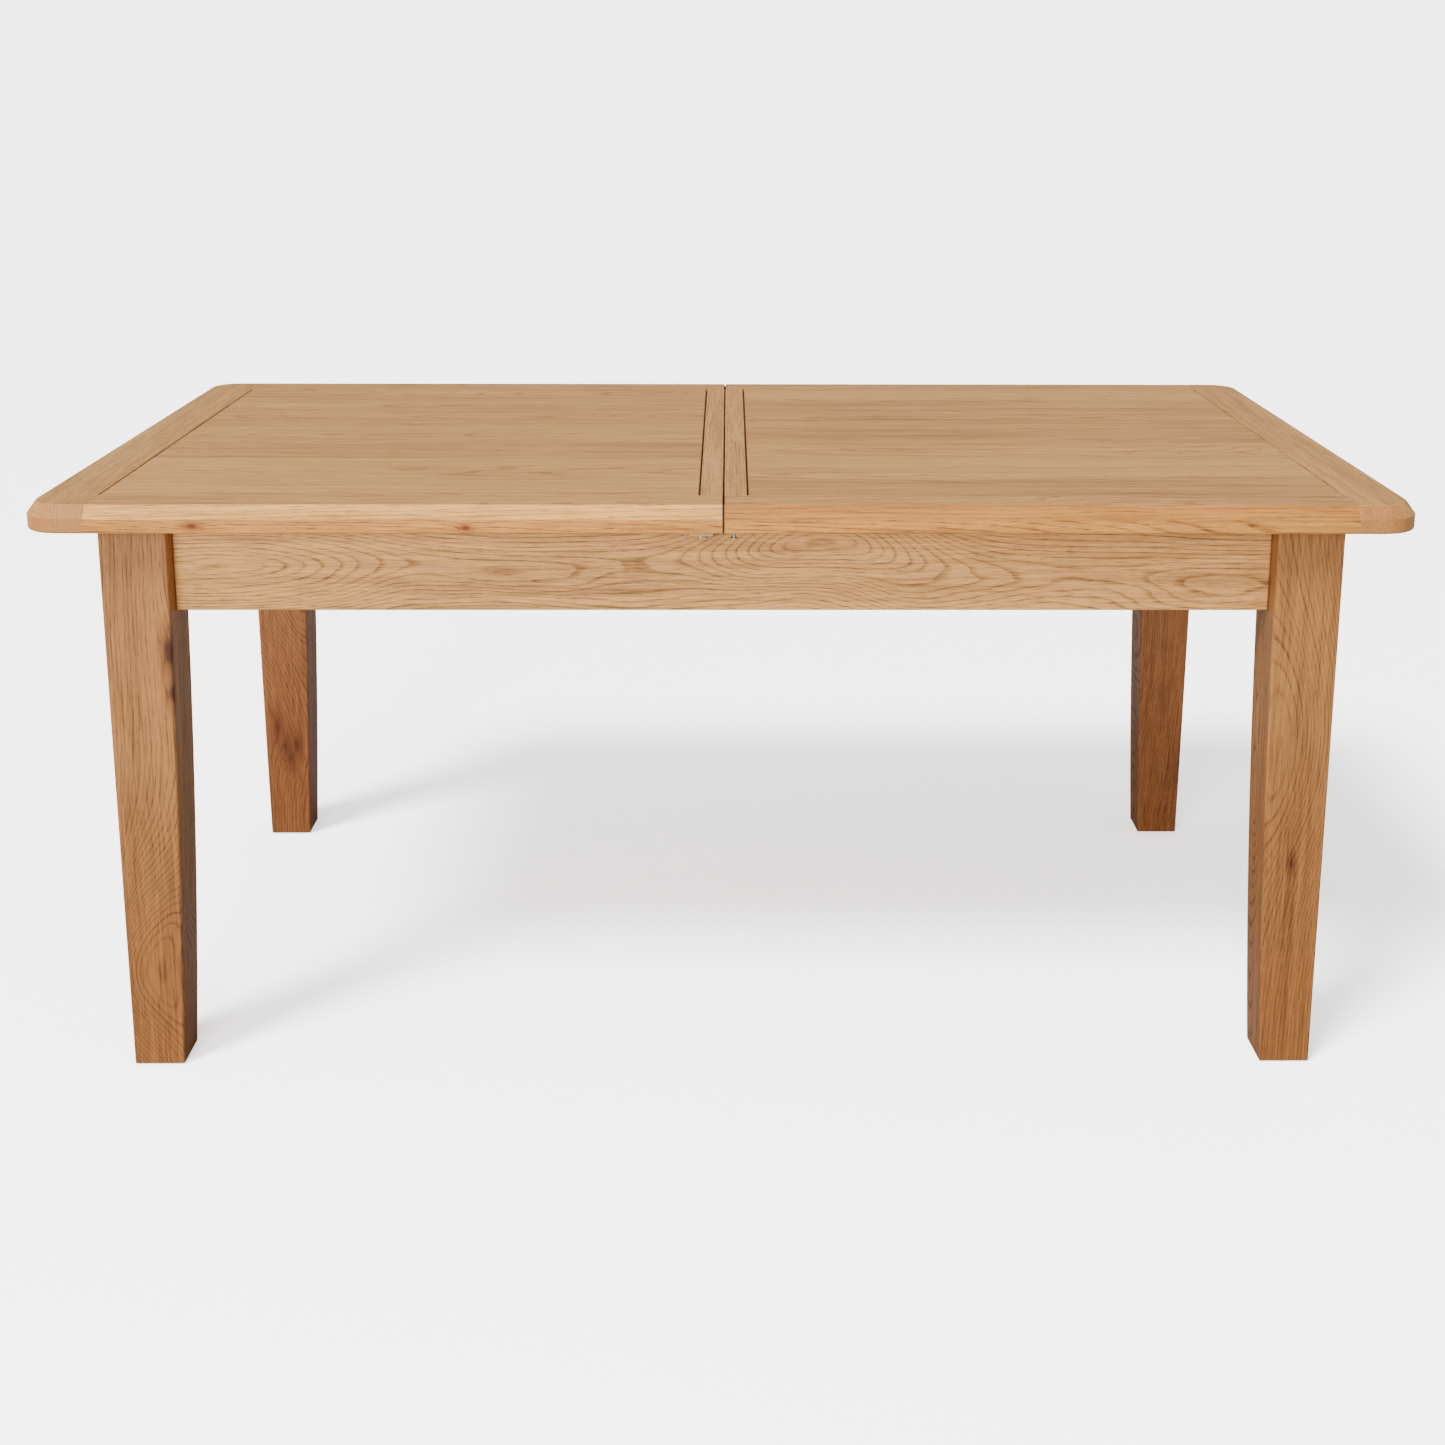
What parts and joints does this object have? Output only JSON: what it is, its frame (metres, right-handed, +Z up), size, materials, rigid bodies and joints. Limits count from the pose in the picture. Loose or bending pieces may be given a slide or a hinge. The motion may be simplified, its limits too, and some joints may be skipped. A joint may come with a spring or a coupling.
{
  "type": "extending dining table",
  "caption": "Oak extending dining table: square tapered legs, sliding top halves on racks and pinions, a folded leaf in the well and a catch under each edge",
  "frame": {"origin": "on the floor under the middle of the closed table", "axes": "+X along the table's length, -Y the front, +Z up"},
  "size_m": [1.742, 0.95, 0.775],
  "materials": {
    "oak_top": "satin",
    "oak_frame": "satin",
    "beech": "matte",
    "zinc_steel": "bright zinc plate",
    "gear_steel": "bare, lightly oiled",
    "hinge_brass": "satin",
    "felt": "pressed felt"
  },
  "bodies": {
    "frame": {"leg_front_left": "oak_frame", "leg_front_right": "oak_frame", "leg_back_left": "oak_frame", "leg_back_right": "oak_frame", "foot_pads": "felt", "apron_front": "oak_frame", "apron_back": "oak_frame", "apron_left": "oak_frame", "apron_right": "oak_frame", "corner_blocks": "beech", "hanger_bolts": "zinc_steel", "bolt_washers": "zinc_steel", "bolt_nuts": "zinc_steel", "bearers": "beech", "slide_rail_front": "beech", "slide_rail_back": "beech", "rail_screws": "zinc_steel", "pinion_axles": "zinc_steel", "leaf_pivoted_half": "oak_top", "leaf_folding_half": "oak_top", "leaf_hinges": "hinge_brass", "leaf_pivot_blocks": "beech", "leaf_pivot_posts": "beech", "leaf_pivots": "zinc_steel", "leaf_rests": "beech"},
    "top_left": {"end_stile_left": "oak_top", "inner_stile_left": "oak_top", "panel_left": "oak_top", "rail_front_left": "oak_top", "rail_back_left": "oak_top", "lipping_end_left": "oak_top", "lipping_front_left": "oak_top", "lipping_back_left": "oak_top", "slider_front_left": "beech", "slider_back_left": "beech", "rack_front_left": "gear_steel", "rack_back_left": "gear_steel", "slider_screws_left": "zinc_steel", "seam_dowels_and_tongues": "beech", "catch_packers": "oak_top", "catch_pivots": "zinc_steel", "catch_staples": "zinc_steel"},
    "top_right": {"end_stile_right": "oak_top", "inner_stile_right": "oak_top", "panel_right": "oak_top", "rail_front_right": "oak_top", "rail_back_right": "oak_top", "lipping_end_right": "oak_top", "lipping_front_right": "oak_top", "lipping_back_right": "oak_top", "slider_front_right": "beech", "slider_back_right": "beech", "rack_front_right": "gear_steel", "rack_back_right": "gear_steel", "slider_screws_right": "zinc_steel", "catch_keepers": "zinc_steel"},
    "pinion_front": {"pinion_front": "gear_steel"},
    "pinion_back": {"pinion_back": "gear_steel"},
    "catch_front": {"catch_lever_front": "zinc_steel"},
    "catch_back": {"catch_lever_back": "zinc_steel"}
  },
  "joints": [
    {"name": "left_half_slide", "type": "slide", "parent": "frame", "child": "top_left", "axis": [-1, 0, 0], "range_m": [0, 0.24]},
    {"name": "right_half_slide", "type": "slide", "parent": "frame", "child": "top_right", "axis": [1, 0, 0], "range_m": [0, 0.24]},
    {"name": "pinion_front_spin", "type": "hinge", "parent": "frame", "child": "pinion_front", "pos_m": [0, -0.3295, 0.733], "axis": [0, 0, 1], "range_deg": [-700, 5]},
    {"name": "pinion_back_spin", "type": "hinge", "parent": "frame", "child": "pinion_back", "pos_m": [0, 0.3295, 0.733], "axis": [0, 0, 1], "range_deg": [-5, 700]},
    {"name": "catch_front_swing", "type": "hinge", "parent": "top_left", "child": "catch_front", "pos_m": [-0.024, -0.452, 0.7327], "axis": [0, 0, -1], "range_deg": [0, 37]},
    {"name": "catch_back_swing", "type": "hinge", "parent": "top_left", "child": "catch_back", "pos_m": [-0.024, 0.452, 0.7327], "axis": [0, 0, 1], "range_deg": [0, 37]}
  ],
  "couplings": [
    {"joint": "right_half_slide", "follows": "left_half_slide", "ratio": 1},
    {"joint": "pinion_front_spin", "follows": "left_half_slide", "rad_per_m": -50},
    {"joint": "pinion_back_spin", "follows": "left_half_slide", "rad_per_m": 50}
  ]
}
